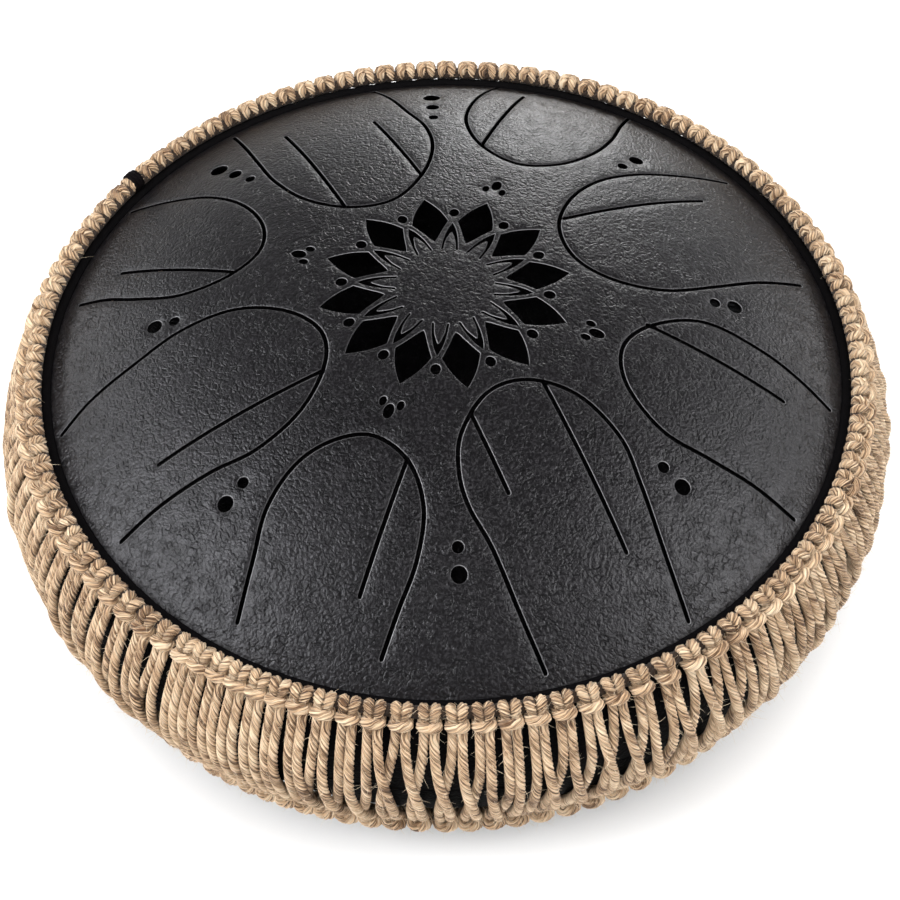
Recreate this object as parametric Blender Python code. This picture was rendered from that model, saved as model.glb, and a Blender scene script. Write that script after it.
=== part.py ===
"""Steel tongue drum: two pressed steel half shells, with a knotted rope net round the rim.

Metres, +Z up. The origin is under the drum's axis, on the surface that its feet stand on.
+Y is the side away from the player.
"""

import math

import bmesh
import bpy
from mathutils import Vector

MM = 0.001

# Pressed steel halves. Both come from one die, so the lower half mirrors the upper one.
EQUATOR_RADIUS = 0.205
SHELL_RISE = 0.092
SHELL_THICKNESS = 0.0018
SHOULDER_RADIUS = 0.190
SHOULDER_DROP = 0.0518
DOME_ROUNDNESS = 0.308
SEAM_GAP = 0.003
GROUND_CLEARANCE = 0.005
SEAM_HEIGHT = GROUND_CLEARANCE + SHELL_RISE
CROWN_HEIGHT = SEAM_HEIGHT + SHELL_RISE

# Mesh fineness. The net's segments share the shell's grid, so their facets stay parallel.
TURN_STEPS = 56
DOME_RADII = (0.0, 0.035, 0.066, 0.095, 0.122, 0.147, 0.170, SHOULDER_RADIUS)
SHOULDER_STEPS = 4
CORD_STEPS = 8
FIT_GAP = 0.0004

# Slits and holes in the upper half.
SLIT_WIDTH = 0.0020
HOLE_STEPS = 8
SLIT_CURVE_STEPS = 2

# Rope net.
CORD_RING_RADIUS = 0.1938
CORD_RING_HEIGHT = 0.047
CORD_RING_THICKNESS = 0.0088
NET_OUTER_RADIUS = 0.2143
NET_GROUPS = 14
BINDING_ANGLE = 144.6
BINDING_LENGTH = 0.007
BINDING_THICKNESS = 0.0011

# Black strip between the upper ring and the shell: (radius, thickness) across it.
RIM_STRIP = ((0.1850, 0.0013), (0.1866, 0.0022), (0.1884, 0.0028), (0.1902, 0.0028),
             (0.1917, 0.0021), (0.1928, 0.0013))

# Feet.
FOOT_COUNT = 4
FOOT_CIRCLE_RADIUS = 0.078
FOOT_TOP_RADIUS = 0.017
FOOT_BASE_RADIUS = 0.0155
FOOT_EDGE_ROUNDING = 0.0015

# Tongues, in millimetres seen from above. Each has the run of its U-shaped slit, from one
# end round the nose to the other, and the straight relief slits inside it.
TONGUES = {
    "front_right": {
        "slit": [(40, -175.5), (30, -155), (18.5, -129), (9, -112), (5, -96), (6.5, -78.5),
                 (18, -59), (36, -52), (57.5, -58.5), (75, -77), (83, -97.5), (92, -125),
                 (101.5, -150.5)],
        "reliefs": [[(42.5, -53), (75.5, -127.5)], [(10.5, -69.5), (26, -106)]],
    },
    "right_front": {
        "slit": [(176, -39), (162.5, -29), (145, -19), (118, -10), (93, -17), (79, -31),
                 (79.5, -51), (94, -71.5), (115, -81.5), (135, -89.5), (152.5, -99)],
        "reliefs": [[(91, -17), (152.5, -43.5)]],
    },
    "right_back": {
        "slit": [(142.5, 105), (117.5, 96.5), (94, 88.5), (74, 77), (60, 60.5), (53.5, 40),
                 (60, 19.5), (78, 7.5), (102, 5.5), (126, 14), (147.5, 24.5), (171, 34)],
        "reliefs": [[(56, 45.5), (126, 77.5)]],
    },
    "back": {
        "slit": [(31.5, 188), (22, 170), (14, 147), (11.5, 125), (18.5, 102), (35.5, 86.5),
                 (56, 88.5), (73, 101.5), (84, 119.5), (91, 141), (97.5, 160)],
        "reliefs": [[(18.5, 101.5), (42, 166.5)]],
    },
    "back_left": {
        "slit": [(-37, 180), (-27, 160), (-18.5, 140), (-9, 121), (-5.5, 100), (-10.5, 77),
                 (-24, 58), (-45, 54.5), (-66.5, 64), (-82, 82), (-92, 102.5),
                 (-100, 122), (-109, 144)],
        "reliefs": [[(-11, 76.5), (-35, 129.5)], [(-47, 55), (-80, 126.5)]],
    },
    "left_back": {
        "slit": [(-157.5, 93), (-137.5, 88), (-114, 80), (-96, 66), (-85.5, 47), (-87, 29.5),
                 (-102, 16.5), (-124, 11.5), (-145, 17), (-161, 24), (-175.5, 28.5)],
        "reliefs": [[(-98.5, 19.5), (-155, 39.5)]],
    },
    "left": {
        "slit": [(-176, -47.5), (-162.5, -35.5), (-142.5, -23.5), (-120, -10.5), (-95, -4.5),
                 (-71, -10), (-55.5, -23.5), (-53.5, -42), (-63.5, -64), (-82, -80),
                 (-103, -87.5), (-125, -97.5), (-142.5, -108)],
        "reliefs": [[(-54.5, -45), (-126.5, -78.5)]],
    },
    "front_left": {
        "slit": [(-89, -151), (-82.5, -127.5), (-77, -107), (-65, -89.5), (-49, -80),
                 (-31.5, -79), (-16.5, -91.5), (-10, -112), (-13, -134), (-21, -153.5),
                 (-28, -170.5)],
        "reliefs": [[(-17, -91), (-37, -147)]],
    },
}

# Lotus sound hole, in millimetres as (outwards, sideways) from the drum's axis.
LOTUS_COUNT = 12
LOTUS_FIRST_PETAL = 99.5
LOTUS_PETAL = [(57.8, 0), (53.8, 2.9), (49.5, 5.4), (45.0, 7.3), (40.7, 8.6), (32.8, 3.4), (27.8, 0)]
LOTUS_LEAF = [(40.4, 0), (36.0, 1.9), (30.0, 3.2), (22.5, 3.9), (22.9, 2.8), (27.5, 2.4),
              (31.2, 1.3), (33.8, 0)]
LOTUS_DOT_DISTANCE = 47.4
LOTUS_DOT_RADIUS = 2.4

# Round holes between the tongues: direction in degrees, then (distance, radius) of each.
HOLE_GROUPS = {
    "front": (-88.1, [(129.0, 2.6), (140.0, 3.6)]),
    "front_right": (-43.5, [(129.0, 2.6), (140.0, 3.6)]),
    "right": (1.6, [(124.5, 2.6), (134.0, 3.6)]),
    "back_right": (47.1, [(129.0, 2.6), (140.0, 3.6)]),
    "back": (92.2, [(131.8, 2.5), (144.9, 3.4), (158.9, 4.5)]),
    "back_left": (136.9, [(130.2, 2.5), (141.5, 3.4), (153.9, 4.5)]),
    "left": (181.9, [(124.5, 2.6), (134.0, 3.6)]),
    "front_left": (227.1, [(129.0, 2.6), (140.0, 3.6)]),
}

# Three oval holes in a cluster, at four places round the lotus.
CLUSTER_ANGLES = (-20.3, 69.7, 159.7, 249.7)
CLUSTER_OVALS = [((72.0, 0.0), (3.75, 2.4)), ((68.0, 4.1), (2.4, 1.7)), ((68.0, -4.1), (2.4, 1.7))]


def clear_scene():
    """Remove whatever the scene holds."""
    for obj in list(bpy.data.objects):
        bpy.data.objects.remove(obj, do_unlink=True)


def make_material(name, colour, roughness, metallic):
    """A Principled material of one colour."""
    material = bpy.data.materials.new(name)
    material.use_nodes = True
    shader = material.node_tree.nodes["Principled BSDF"]
    shader.inputs["Base Color"].default_value = (*colour, 1.0)
    shader.inputs["Roughness"].default_value = roughness
    shader.inputs["Metallic"].default_value = metallic
    return material


def finish_object(name, bm, material, smooth_angle=math.radians(35)):
    """Turn a bmesh into a named object with its faces pointing out."""
    bmesh.ops.recalc_face_normals(bm, faces=bm.faces)
    mesh = bpy.data.meshes.new(name)
    bm.to_mesh(mesh)
    bm.free()
    mesh.shade_smooth()
    mesh.set_sharp_from_angle(angle=smooth_angle)
    if material:
        mesh.materials.append(material)
    obj = bpy.data.objects.new(name, mesh)
    bpy.context.collection.objects.link(obj)
    return obj


def turned(outline, steps=TURN_STEPS, first=0.0, last=360.0, centre=(0.0, 0.0)):
    """Spin a closed outline of (radius, height) points about a vertical axis.

    An outline that starts and ends on the axis stays open there, and its poles are merged.
    """
    bm = bmesh.new()
    axis = Vector((centre[0], centre[1], 0.0))
    turn = math.radians(first)
    direction = Vector((math.cos(turn), math.sin(turn), 0.0))
    verts = [bm.verts.new(axis + direction * radius + Vector((0, 0, height)))
             for radius, height in outline]
    on_axis = outline[0][0] == 0.0
    pairs = zip(verts, verts[1:] if on_axis else verts[1:] + verts[:1])
    edges = [bm.edges.new(pair) for pair in pairs]
    full = math.isclose(last - first, 360.0)
    bmesh.ops.spin(bm, geom=verts + edges, cent=axis, axis=(0, 0, 1), dvec=(0, 0, 0),
                   angle=math.radians(last - first), steps=steps, use_merge=full)
    if full:
        bmesh.ops.remove_doubles(bm, verts=bm.verts, dist=1e-6)
    else:
        bmesh.ops.holes_fill(bm, edges=bm.edges, sides=0)
    return bm


def dome_drop(radius):
    """How far the dome has fallen below its crown at this distance from the axis."""
    share = (radius / SHOULDER_RADIUS) ** 2
    return SHOULDER_DROP * share * (1 - DOME_ROUNDNESS * (1 - share))


def shell_profile():
    """(radius, drop) down the outside of a half shell, from its crown to its open edge."""
    points = [(radius, dome_drop(radius)) for radius in DOME_RADII]
    slope = SHOULDER_DROP * 2 / SHOULDER_RADIUS * (1 + DOME_ROUNDNESS)
    corner_drop = SHOULDER_DROP + (EQUATOR_RADIUS - SHOULDER_RADIUS) * slope
    edge_drop = SHELL_RISE - SEAM_GAP / 2
    for step in range(1, SHOULDER_STEPS + 1):
        t = step / SHOULDER_STEPS
        radius = SHOULDER_RADIUS + (EQUATOR_RADIUS - SHOULDER_RADIUS) * (2 * t - t * t)
        drop = (SHOULDER_DROP * (1 - t) ** 2 + corner_drop * 2 * t * (1 - t) + edge_drop * t * t)
        points.append((radius, drop))
    return points


def offset_profile(points, distance):
    """Move a crown-to-edge profile square to itself, outwards where distance is positive."""
    moved = []
    for index, (radius, drop) in enumerate(points):
        before = points[max(index - 1, 0)]
        after = points[min(index + 1, len(points) - 1)]
        run, fall = after[0] - before[0], after[1] - before[1]
        if index == 0 and radius == 0.0:
            run, fall = 1.0, 0.0
        if index == len(points) - 1:
            run, fall = 0.0, 1.0
        length = math.hypot(run, fall)
        moved.append((radius + distance * fall / length, drop - distance * run / length))
    return moved


def upper(points):
    """(radius, drop) to (radius, height) on the upper half."""
    return [(radius, CROWN_HEIGHT - drop) for radius, drop in points]


def lower(points):
    """(radius, drop) to (radius, height) on the lower half."""
    return [(radius, GROUND_CLEARANCE + drop) for radius, drop in points]


def smooth_run(points, steps):
    """A smooth open curve through plan points, by Catmull-Rom, with steps to each stretch."""
    points = [Vector(point) for point in points]
    padded = [points[0] * 2 - points[1], *points, points[-1] * 2 - points[-2]]
    run = []
    for a, b, c, d in zip(padded, padded[1:], padded[2:], padded[3:]):
        for step in range(steps):
            t = step / steps
            run.append(0.5 * (2 * b + (c - a) * t + (2 * a - 5 * b + 4 * c - d) * t * t
                              + (3 * b - a - 3 * c + d) * t ** 3))
    run.append(points[-1])
    return run


def slit_outline(run, width):
    """The closed outline of a slit of this width along a plan run, pointed at both ends."""
    left, right = [], []
    for index, point in enumerate(run):
        along = run[min(index + 1, len(run) - 1)] - run[max(index - 1, 0)]
        side = Vector((-along.y, along.x)).normalized() * width / 2
        left.append(point + side)
        right.append(point - side)
    start = run[0] + (run[0] - run[1]).normalized() * width / 2
    end = run[-1] + (run[-1] - run[-2]).normalized() * width / 2
    return [start, *left, end, *reversed(right)]


def placed(points, degrees):
    """(outwards, sideways) points in millimetres, turned to a direction on the drum."""
    turn = math.radians(degrees)
    outwards = Vector((math.cos(turn), math.sin(turn)))
    sideways = Vector((-math.sin(turn), math.cos(turn)))
    return [(outwards * out + sideways * side) * MM for out, side in points]


def oval(centre, half_sizes, steps=HOLE_STEPS):
    """An oval outline in (outwards, sideways) millimetres."""
    angles = [2 * math.pi * step / steps for step in range(steps)]
    return [(centre[0] + half_sizes[0] * math.cos(angle),
             centre[1] + half_sizes[1] * math.sin(angle)) for angle in angles]


def mirrored(points):
    """Complete a half outline that starts and ends on its line of symmetry."""
    return points + [(out, -side) for out, side in reversed(points[1:-1])]


def cutter(name, outlines):
    """Upright prisms through the whole upper half, to cut these plan outlines."""
    bm = bmesh.new()
    bottom, top = CROWN_HEIGHT - SHELL_RISE * 0.75, CROWN_HEIGHT + 0.01
    for outline in outlines:
        face = bm.faces.new([bm.verts.new((point.x, point.y, bottom)) for point in outline])
        grown = bmesh.ops.extrude_face_region(bm, geom=[face], use_keep_orig=True)
        raised = [item for item in grown["geom"] if isinstance(item, bmesh.types.BMVert)]
        bmesh.ops.translate(bm, verts=raised, vec=(0, 0, top - bottom))
    obj = finish_object(name, bm, None)
    obj.hide_render = True
    obj.display_type = "WIRE"
    return obj


def cut(obj, tool):
    """Subtract one object from another."""
    modifier = obj.modifiers.new(tool.name, "BOOLEAN")
    modifier.operation = "DIFFERENCE"
    modifier.object = tool


def sound_hole_outlines():
    """Plan outlines of the lotus, the round holes and the oval clusters."""
    outlines = []
    pitch = 360 / LOTUS_COUNT
    dot = oval((LOTUS_DOT_DISTANCE, 0.0), (LOTUS_DOT_RADIUS * 1.15, LOTUS_DOT_RADIUS))
    for index in range(LOTUS_COUNT):
        petal_angle = LOTUS_FIRST_PETAL - pitch * index
        outlines.append(placed(mirrored(LOTUS_PETAL), petal_angle))
        outlines.append(placed(mirrored(LOTUS_LEAF), petal_angle + pitch / 2))
        outlines.append(placed(dot, petal_angle + pitch / 2))
    for angle, holes in HOLE_GROUPS.values():
        for distance, radius in holes:
            outlines.append(placed(oval((distance, 0.0), (radius, radius)), angle))
    for angle in CLUSTER_ANGLES:
        for centre, half_sizes in CLUSTER_OVALS:
            outlines.append(placed(oval(centre, half_sizes), angle))
    return outlines


def build_upper_shell(steel):
    """The playing half, with its tongues and sound holes cut through."""
    outside = shell_profile()
    inside = offset_profile(outside, -SHELL_THICKNESS)
    shell = finish_object("top_shell", turned(upper(outside) + upper(inside)[::-1]), steel)
    slits, reliefs = [], []
    for tongue in TONGUES.values():
        run = smooth_run([Vector(point) * MM for point in tongue["slit"]], SLIT_CURVE_STEPS)
        slits.append(slit_outline(run, SLIT_WIDTH))
        for ends in tongue["reliefs"]:
            reliefs.append(slit_outline([Vector(point) * MM for point in ends], SLIT_WIDTH))
    cut(shell, cutter("tongue_slit_cutter", slits))
    cut(shell, cutter("relief_slit_cutter", reliefs))
    cut(shell, cutter("sound_hole_cutter", sound_hole_outlines()))


def build_lower_shell(steel):
    """The plain half, closed underneath."""
    outside = shell_profile()
    inside = offset_profile(outside, -SHELL_THICKNESS)
    finish_object("bottom_shell", turned(lower(outside) + lower(inside)[::-1]), steel)


def build_seam_bead(adhesive):
    """The bead that joins the two halves, between their edges and a little inside them."""
    half_gap = SEAM_GAP / 2 - FIT_GAP
    inner = EQUATOR_RADIUS - SHELL_THICKNESS - 0.0006
    outer = EQUATOR_RADIUS - 0.0002
    outline = [(inner, SEAM_HEIGHT - half_gap), (outer, SEAM_HEIGHT - half_gap),
               (outer, SEAM_HEIGHT + half_gap), (inner, SEAM_HEIGHT + half_gap)]
    finish_object("seam_bead", turned(outline), adhesive)


def ring_section(height, radius, first=0.0, last=360.0, steps=CORD_STEPS):
    """Points round a cord's cross-section, counter-clockwise from the outer side."""
    count = steps if math.isclose(last - first, 360.0) else steps + 1
    points = []
    for step in range(count):
        angle = math.radians(first + (last - first) * step / steps)
        points.append((CORD_RING_RADIUS + radius * math.cos(angle),
                       height + radius * math.sin(angle)))
    return points


def build_cord_rings(jute):
    """The two cord rings that hold the net above and below the widest part of the drum."""
    for name, side in (("upper_cord_ring", 1), ("lower_cord_ring", -1)):
        section = ring_section(SEAM_HEIGHT + side * CORD_RING_HEIGHT, CORD_RING_THICKNESS / 2)
        finish_object(name, turned(section), jute)


def build_rim_strip(rubber):
    """The black strip that the upper ring bears on, stuck to the shoulder of the playing half."""
    def surface(radius):
        if radius <= SHOULDER_RADIUS:
            return CROWN_HEIGHT - dome_drop(radius)
        inner, outer = [point for point in shell_profile() if point[0] >= SHOULDER_RADIUS][:2]
        share = (radius - inner[0]) / (outer[0] - inner[0])
        return CROWN_HEIGHT - (inner[1] + (outer[1] - inner[1]) * share)

    under, over = [], []
    for radius, thickness in RIM_STRIP:
        fall = (surface(radius - 0.0005) - surface(radius + 0.0005)) / 0.001
        length = math.hypot(1.0, fall)
        for points, distance in ((under, FIT_GAP), (over, thickness)):
            points.append((radius + distance * fall / length, surface(radius) + distance / length))
    finish_object("rim_strip", turned(under + over[::-1]), rubber)


def net_outline():
    """Cross-section of the hanging cords, between the two rings and outside the shell."""
    shell = [(radius, SHELL_RISE - drop) for radius, drop in offset_profile(shell_profile(), FIT_GAP)]
    inner = [(radius, height) for radius, height in shell if radius > SHOULDER_RADIUS + 0.009]
    outer = [(0.1995, 0.0385), (0.2025, 0.0405), (0.2078, 0.0320), (0.2112, 0.0245),
             (0.2136, 0.0155), (NET_OUTER_RADIUS, 0.0070)]
    half = inner[::-1] + outer
    half[0] = (half[0][0], 0.0)
    mirror = [(radius, -height) for radius, height in reversed(half[1:])]
    return [(radius, SEAM_HEIGHT + height) for radius, height in half + mirror]


def build_net(jute):
    """The hitched cords between the rings, as one closed body for each group of cords."""
    width = 360 / NET_GROUPS
    joint = math.degrees(FIT_GAP / 2 / EQUATOR_RADIUS)
    outline = net_outline()
    for group in range(NET_GROUPS):
        body = turned(outline, TURN_STEPS // NET_GROUPS, group * width + joint, (group + 1) * width - joint)
        finish_object(f"net_cords_{group + 1:02d}", body, jute)


def build_binding(tape):
    """The black binding where the upper ring's ends meet, open on the side towards the shell."""
    inner = CORD_RING_THICKNESS / 2 + FIT_GAP
    height = SEAM_HEIGHT + CORD_RING_HEIGHT
    section = ring_section(height, inner, -60.0, 165.0)
    section += ring_section(height, inner + BINDING_THICKNESS, -60.0, 165.0)[::-1]
    half_turn = math.degrees(BINDING_LENGTH / 2 / CORD_RING_RADIUS)
    body = turned(section, 3, BINDING_ANGLE - half_turn, BINDING_ANGLE + half_turn)
    finish_object("ring_binding", body, tape)


def build_feet(rubber):
    """Rubber feet, turned plain and then hollowed on top to the shell they are stuck to."""
    underside = offset_profile(shell_profile(), FIT_GAP)
    clearance = finish_object("foot_clearance", turned(lower(underside[:-1]) + [(0.0, SEAM_HEIGHT)]), None)
    clearance.hide_render = True
    clearance.display_type = "WIRE"
    blank_height = GROUND_CLEARANCE + dome_drop(FOOT_CIRCLE_RADIUS + FOOT_TOP_RADIUS) + 0.002
    outline = [(0.0, 0.0), (FOOT_BASE_RADIUS - FOOT_EDGE_ROUNDING, 0.0),
               (FOOT_BASE_RADIUS, FOOT_EDGE_ROUNDING), (FOOT_TOP_RADIUS, blank_height), (0.0, blank_height)]
    for index in range(FOOT_COUNT):
        angle = math.radians(45 + 360 * index / FOOT_COUNT)
        centre = (FOOT_CIRCLE_RADIUS * math.cos(angle), FOOT_CIRCLE_RADIUS * math.sin(angle))
        foot = finish_object(f"foot_{index + 1}", turned(outline, 24, centre=centre), rubber)
        cut(foot, clearance)


def main():
    clear_scene()
    steel = make_material("charcoal_coated_steel", (0.055, 0.055, 0.060), 0.45, 0.6)
    jute = make_material("jute", (0.50, 0.33, 0.17), 0.9, 0.0)
    adhesive = make_material("black_adhesive", (0.015, 0.015, 0.015), 0.6, 0.0)
    tape = make_material("black_binding_tape", (0.010, 0.009, 0.009), 0.5, 0.0)
    rubber = make_material("black_rubber", (0.020, 0.020, 0.020), 0.8, 0.0)
    build_upper_shell(steel)
    build_lower_shell(steel)
    build_seam_bead(adhesive)
    build_cord_rings(jute)
    build_rim_strip(rubber)
    build_net(jute)
    build_binding(tape)
    build_feet(rubber)


main()
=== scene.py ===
"""Looks of a steel tongue drum: coated steel shells and a knotted jute net round its rim.

Metres, +Z up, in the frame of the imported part. +Y is the side away from the player.
"""

import math

import bpy
import numpy as np
from mathutils import Matrix, Vector
from mathutils.geometry import delaunay_2d_cdt


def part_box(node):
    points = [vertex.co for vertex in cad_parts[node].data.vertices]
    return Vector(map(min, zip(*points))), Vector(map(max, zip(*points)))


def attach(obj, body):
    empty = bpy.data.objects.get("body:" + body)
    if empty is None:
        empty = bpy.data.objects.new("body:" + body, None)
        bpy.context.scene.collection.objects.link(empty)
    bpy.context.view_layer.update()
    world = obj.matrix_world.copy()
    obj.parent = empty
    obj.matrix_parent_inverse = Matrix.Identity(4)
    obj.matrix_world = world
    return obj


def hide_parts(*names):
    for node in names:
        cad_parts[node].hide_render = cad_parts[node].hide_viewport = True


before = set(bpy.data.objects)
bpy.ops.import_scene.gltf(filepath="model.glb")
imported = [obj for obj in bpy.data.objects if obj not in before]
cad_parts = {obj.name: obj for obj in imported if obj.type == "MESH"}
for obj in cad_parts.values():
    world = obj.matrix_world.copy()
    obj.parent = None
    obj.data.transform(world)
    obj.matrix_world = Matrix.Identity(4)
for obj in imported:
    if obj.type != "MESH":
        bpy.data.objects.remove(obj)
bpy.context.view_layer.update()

MM = 0.001

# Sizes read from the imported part.
TOP_LOW, TOP_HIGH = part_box("top_shell")
BOTTOM_LOW, BOTTOM_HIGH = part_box("bottom_shell")
RING_LOW, RING_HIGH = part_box("upper_cord_ring")
BINDING_LOW, BINDING_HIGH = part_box("ring_binding")

CROWN_HEIGHT = TOP_HIGH.z
UNDERSIDE_HEIGHT = BOTTOM_LOW.z
SEAM_HEIGHT = (TOP_LOW.z + BOTTOM_HIGH.z) / 2
SEAM_GAP = TOP_LOW.z - BOTTOM_HIGH.z
SHELL_RISE = CROWN_HEIGHT - SEAM_HEIGHT
EQUATOR_RADIUS = TOP_HIGH.x
RING_RADIUS = RING_HIGH.x - (RING_HIGH.z - RING_LOW.z) / 2
RING_OFFSET = (RING_HIGH.z + RING_LOW.z) / 2 - SEAM_HEIGHT

# The shell's own shape, as the part has it: its wall, where its dome ends and how round that is.
SHELL_THICKNESS = 0.0018
SHOULDER_RADIUS = 0.190
SHOULDER_DROP = 0.0518
DOME_ROUNDNESS = 0.308

# Black strip between the upper ring and the shell, whose black is painted shade under the ring: (radius,
# thickness) across it, how far its underside sinks into the shell, how deep its shallow dents are, and
# the steps in each dent.
RIM_STRIP = ((0.1856, 0.0002), (0.1857, 0.0009), (0.1860, 0.0015), (0.1867, 0.0022), (0.1884, 0.0028),
             (0.1902, 0.0028), (0.1917, 0.0021), (0.1925, 0.0015), (0.1928, 0.0009), (0.1929, 0.0002))
STRIP_ROOT = 0.0003
STRIP_DENT = 0.0003
DENT_STEPS = 10

# The bead in the seam: its clearance to each half, how far in its face sits, how far it stands out
# inside the shell, and how hollow its face is.
SEAM_CLEARANCE = 0.0003
SEAM_INSET = 0.0002
SEAM_SQUEEZE = 0.0006
SEAM_HOLLOW = 0.0004

# How finely the shells are meshed. The plan of the dome goes a little way past the shoulder.
TURN_STEPS = 360
PLAN_RADIUS = 0.1945
PLAN_SPACING = 0.004
RIM_STEPS = 14
LOWER_DOME_STEPS = 64

# Eased edge of every slit and hole: how wide and deep it is, how far its painted highlight goes down the
# wall, how strong that painted highlight is at least and how much more where the edge faces the way the
# highlight falls.
EDGE_EASE = 0.00038
EDGE_DEPTH = 0.00022
EDGE_HIGHLIGHT_DEPTH = 0.00010
LEAST_EDGE_HIGHLIGHT = 0.15
FACING_EDGE_HIGHLIGHT = 0.75
SLIT_HIGHLIGHT_WAY = (0.9, -0.43)
HOLE_HIGHLIGHT_WAY = (0.7, 0.7)

# Slits and holes.
SLIT_WIDTH = 0.0020
SLIT_SPACING = 0.0024
HOLE_STEPS = 28
PETAL_STEPS = 4

# Tongues, in millimetres seen from above: the run of each U-shaped slit, from one end round
# the nose to the other, and the straight relief slits inside it.
TONGUES = {
    "front_right": {
        "slit": [(40, -175.5), (30, -155), (18.5, -129), (9, -112), (5, -96), (6.5, -78.5),
                 (18, -59), (36, -52), (57.5, -58.5), (75, -77), (83, -97.5), (92, -125),
                 (101.5, -150.5)],
        "reliefs": [[(42.5, -53), (75.5, -127.5)], [(10.5, -69.5), (26, -106)]],
    },
    "right_front": {
        "slit": [(176, -39), (162.5, -29), (145, -19), (118, -10), (93, -17), (79, -31),
                 (79.5, -51), (94, -71.5), (115, -81.5), (135, -89.5), (152.5, -99)],
        "reliefs": [[(91, -17), (152.5, -43.5)]],
    },
    "right_back": {
        "slit": [(142.5, 105), (117.5, 96.5), (94, 88.5), (74, 77), (60, 60.5), (53.5, 40),
                 (60, 19.5), (78, 7.5), (102, 5.5), (126, 14), (147.5, 24.5), (171, 34)],
        "reliefs": [[(56, 45.5), (126, 77.5)]],
    },
    "back": {
        "slit": [(31.5, 188), (22, 170), (14, 147), (11.5, 125), (18.5, 102), (35.5, 86.5),
                 (56, 88.5), (73, 101.5), (84, 119.5), (91, 141), (97.5, 160)],
        "reliefs": [[(18.5, 101.5), (42, 166.5)]],
    },
    "back_left": {
        "slit": [(-37, 180), (-27, 160), (-18.5, 140), (-9, 121), (-5.5, 100), (-10.5, 77),
                 (-24, 58), (-45, 54.5), (-66.5, 64), (-82, 82), (-92, 102.5),
                 (-100, 122), (-109, 144)],
        "reliefs": [[(-11, 76.5), (-35, 129.5)], [(-47, 55), (-80, 126.5)]],
    },
    "left_back": {
        "slit": [(-157.5, 93), (-137.5, 88), (-114, 80), (-96, 66), (-85.5, 47), (-87, 29.5),
                 (-102, 16.5), (-124, 11.5), (-145, 17), (-161, 24), (-175.5, 28.5)],
        "reliefs": [[(-98.5, 19.5), (-155, 39.5)]],
    },
    "left": {
        "slit": [(-176, -47.5), (-162.5, -35.5), (-142.5, -23.5), (-120, -10.5), (-95, -4.5),
                 (-71, -10), (-55.5, -23.5), (-53.5, -42), (-63.5, -64), (-82, -80),
                 (-103, -87.5), (-125, -97.5), (-142.5, -108)],
        "reliefs": [[(-54.5, -45), (-126.5, -78.5)]],
    },
    "front_left": {
        "slit": [(-89, -151), (-82.5, -127.5), (-77, -107), (-65, -89.5), (-49, -80),
                 (-31.5, -79), (-16.5, -91.5), (-10, -112), (-13, -134), (-21, -153.5),
                 (-28, -170.5)],
        "reliefs": [[(-17, -91), (-37, -147)]],
    },
}

# Lotus sound hole, in millimetres as (outwards, sideways) from the drum's axis.
LOTUS_COUNT = 12
LOTUS_FIRST_PETAL = 99.5
LOTUS_PETAL_TIP = [(57.8, 0), (53.8, 2.9), (49.5, 5.4), (45.0, 7.3), (40.7, 8.6)]
LOTUS_PETAL_FOOT = [(40.7, 8.6), (36.6, 5.8), (32.8, 3.4), (29.6, 1.5), (27.8, 0)]
LOTUS_LEAF_OUTER = [(40.4, 0), (36.0, 1.9), (30.0, 3.25), (22.5, 3.95)]
LOTUS_LEAF_END = [(22.5, 3.95), (22.1, 3.35), (22.9, 2.8)]
LOTUS_LEAF_INNER = [(22.9, 2.8), (27.5, 2.4), (31.2, 1.35), (33.2, 0.55), (33.8, 0)]
LOTUS_DOT_DISTANCE = 47.4
LOTUS_DOT_RADIUS = 2.4

# Round holes between the tongues: direction in degrees, then (distance, radius) of each.
HOLE_GROUPS = {
    "front": (-88.1, [(129.0, 2.6), (140.0, 3.6)]),
    "front_right": (-43.5, [(129.0, 2.6), (140.0, 3.6)]),
    "right": (1.6, [(124.5, 2.6), (134.0, 3.6)]),
    "back_right": (47.1, [(129.0, 2.6), (140.0, 3.6)]),
    "back": (92.2, [(131.8, 2.5), (144.9, 3.4), (158.9, 4.5)]),
    "back_left": (136.9, [(130.2, 2.5), (141.5, 3.4), (153.9, 4.5)]),
    "left": (181.9, [(124.5, 2.6), (134.0, 3.6)]),
    "front_left": (227.1, [(129.0, 2.6), (140.0, 3.6)]),
}

# Three oval holes in a cluster, at four places round the lotus.
CLUSTER_ANGLES = (-20.3, 69.7, 159.7, 249.7)
CLUSTER_OVALS = [((72.0, 0.0), (3.75, 2.4)), ((68.0, 4.1), (2.4, 1.7)), ((68.0, -4.1), (2.4, 1.7))]

# Twine of the net. Its lay is the length in which its plies turn once round.
TWINE_RADIUS = 0.0021
TWINE_PLIES = 6
TWINE_SIDES = 18
TWINE_LAY = 0.0155
TWINE_STEP = 0.0014
TWINE_TURNS = -1 / TWINE_LAY

# Cords inside the rings: name, side of the seam, radius, shift outwards and up from the ring's middle,
# and tone, which is below 0 so that they are painted dark, as painted shade in the gaps of the net.
CORE_CORDS = (("upper", 1, 0.0028, -0.0012, -0.0016, -1.0),
              ("lower", -1, 0.0036, 0.0, 0.0, -0.75))
CORE_STEPS = 400

# Black cord wound round the upper ring: its turns, their pitch, its radius, its reach from the
# ring's middle, how much less that is at both ends, steps in a turn and twist in turns per metre.
BINDING_TURNS = 4
BINDING_PITCH = 0.0016
BINDING_CORD_RADIUS = 0.0009
BINDING_REACH = 0.0046
BINDING_TAPER = 0.0005
BINDING_STEPS = 24
BINDING_TWIST = -90.0

# Rope net. Its hitches go all the way round; those in front are set one by one.
NET_GROUPS = 14
FRONT_HITCHES = (-124.4, -121.9, -119.2, -116.5, -113.8, -111.1, -108.3, -105.3, -102.2, -99.1,
                 -95.8, -92.4, -89.1, -85.9, -82.7, -79.5, -76.2, -72.9, -69.6, -66.2, -62.6,
                 -58.9, -55.5, -52.2, -49.1, -46.1, -43.1, -40.1, -37.2)
OTHER_HITCHES = 83
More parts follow.
